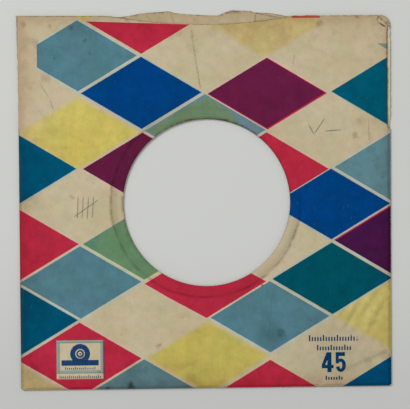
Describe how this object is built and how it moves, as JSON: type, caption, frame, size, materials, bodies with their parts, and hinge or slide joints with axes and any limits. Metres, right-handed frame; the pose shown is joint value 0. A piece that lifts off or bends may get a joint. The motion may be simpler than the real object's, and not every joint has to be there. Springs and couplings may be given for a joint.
{
  "type": "paper record sleeve",
  "caption": "Flat square paper sleeve for a small record: front and back panels with a centre hole, folded sides, glue flaps and a mouth flap that opens.",
  "frame": {"origin": "middle of the centre hole, on the back's outer face, which the sleeve lies on", "axes": "+X to the right across the front, +Y up to the mouth, +Z out of the front"},
  "size_m": [0.1848, 0.1872, 0.0015],
  "materials": {
    "printed_paper": "aged cream paper with a printed pattern, matt and worn",
    "plain_paper": "aged cream paper, not printed, matt",
    "dried_glue": "dried amber paste"
  },
  "bodies": {
    "sleeve": {"front_panel": "printed_paper", "back_panel": "printed_paper", "bottom_fold": "printed_paper", "left_side_fold": "printed_paper", "right_side_fold": "printed_paper", "left_glue_flap": "plain_paper", "right_glue_flap": "plain_paper", "left_glue_line": "dried_glue", "right_glue_line": "dried_glue"},
    "mouth": {"mouth_flap": "printed_paper"},
    "corner": {"torn_corner": "printed_paper"}
  },
  "joints": [
    {"name": "mouth_opening", "type": "hinge", "parent": "sleeve", "child": "mouth", "pos_m": [0, 0.0363, 0.0015], "axis": [1, 0, 0], "range_deg": [0, 35], "stiffness_Nm_per_rad": 0.002},
    {"name": "corner_fold", "type": "hinge", "parent": "mouth", "child": "corner", "pos_m": [0.0885, 0.0892, 0.0015], "axis": [0.7071, -0.7071, 0], "range_deg": [0, 170]}
  ]
}
